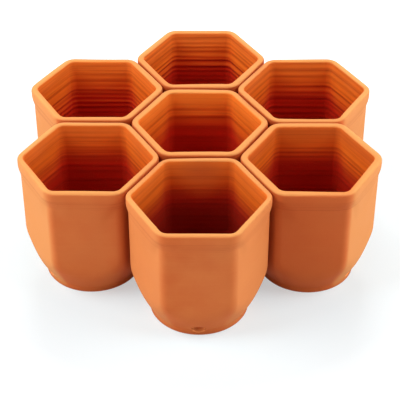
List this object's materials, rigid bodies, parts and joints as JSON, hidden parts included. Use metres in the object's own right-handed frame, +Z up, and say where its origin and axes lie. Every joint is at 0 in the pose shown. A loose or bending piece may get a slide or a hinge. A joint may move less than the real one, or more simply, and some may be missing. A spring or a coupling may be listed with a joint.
{
  "type": "herb pot set",
  "caption": "Hexagonal terracotta herb pots with rolled rims, hollow bodies and round drained feet, standing as a honeycomb; each pot lifts out by itself.",
  "frame": {"origin": "centre of the middle pot's foot, on the floor", "axes": "+Z up; -Y towards the front pot; +X to the right, through the middle pot's corner"},
  "size_m": [0.3686, 0.3878, 0.1365],
  "materials": {
    "terracotta": "matte unglazed"
  },
  "bodies": {
    "centre_pot": {"centre_pot": "terracotta"},
    "front_pot": {"front_pot": "terracotta"},
    "front_right_pot": {"front_right_pot": "terracotta"},
    "back_right_pot": {"back_right_pot": "terracotta"},
    "back_pot": {"back_pot": "terracotta"},
    "back_left_pot": {"back_left_pot": "terracotta"},
    "front_left_pot": {"front_left_pot": "terracotta"}
  },
  "joints": [
    {"name": "front_pot_lift", "type": "slide", "parent": "centre_pot", "child": "front_pot", "axis": [0, 0, 1], "range_m": [0, 0.17]},
    {"name": "front_right_pot_lift", "type": "slide", "parent": "centre_pot", "child": "front_right_pot", "axis": [0, 0, 1], "range_m": [0, 0.17]},
    {"name": "back_right_pot_lift", "type": "slide", "parent": "centre_pot", "child": "back_right_pot", "axis": [0, 0, 1], "range_m": [0, 0.17]},
    {"name": "back_pot_lift", "type": "slide", "parent": "centre_pot", "child": "back_pot", "axis": [0, 0, 1], "range_m": [0, 0.17]},
    {"name": "back_left_pot_lift", "type": "slide", "parent": "centre_pot", "child": "back_left_pot", "axis": [0, 0, 1], "range_m": [0, 0.17]},
    {"name": "front_left_pot_lift", "type": "slide", "parent": "centre_pot", "child": "front_left_pot", "axis": [0, 0, 1], "range_m": [0, 0.17]}
  ]
}
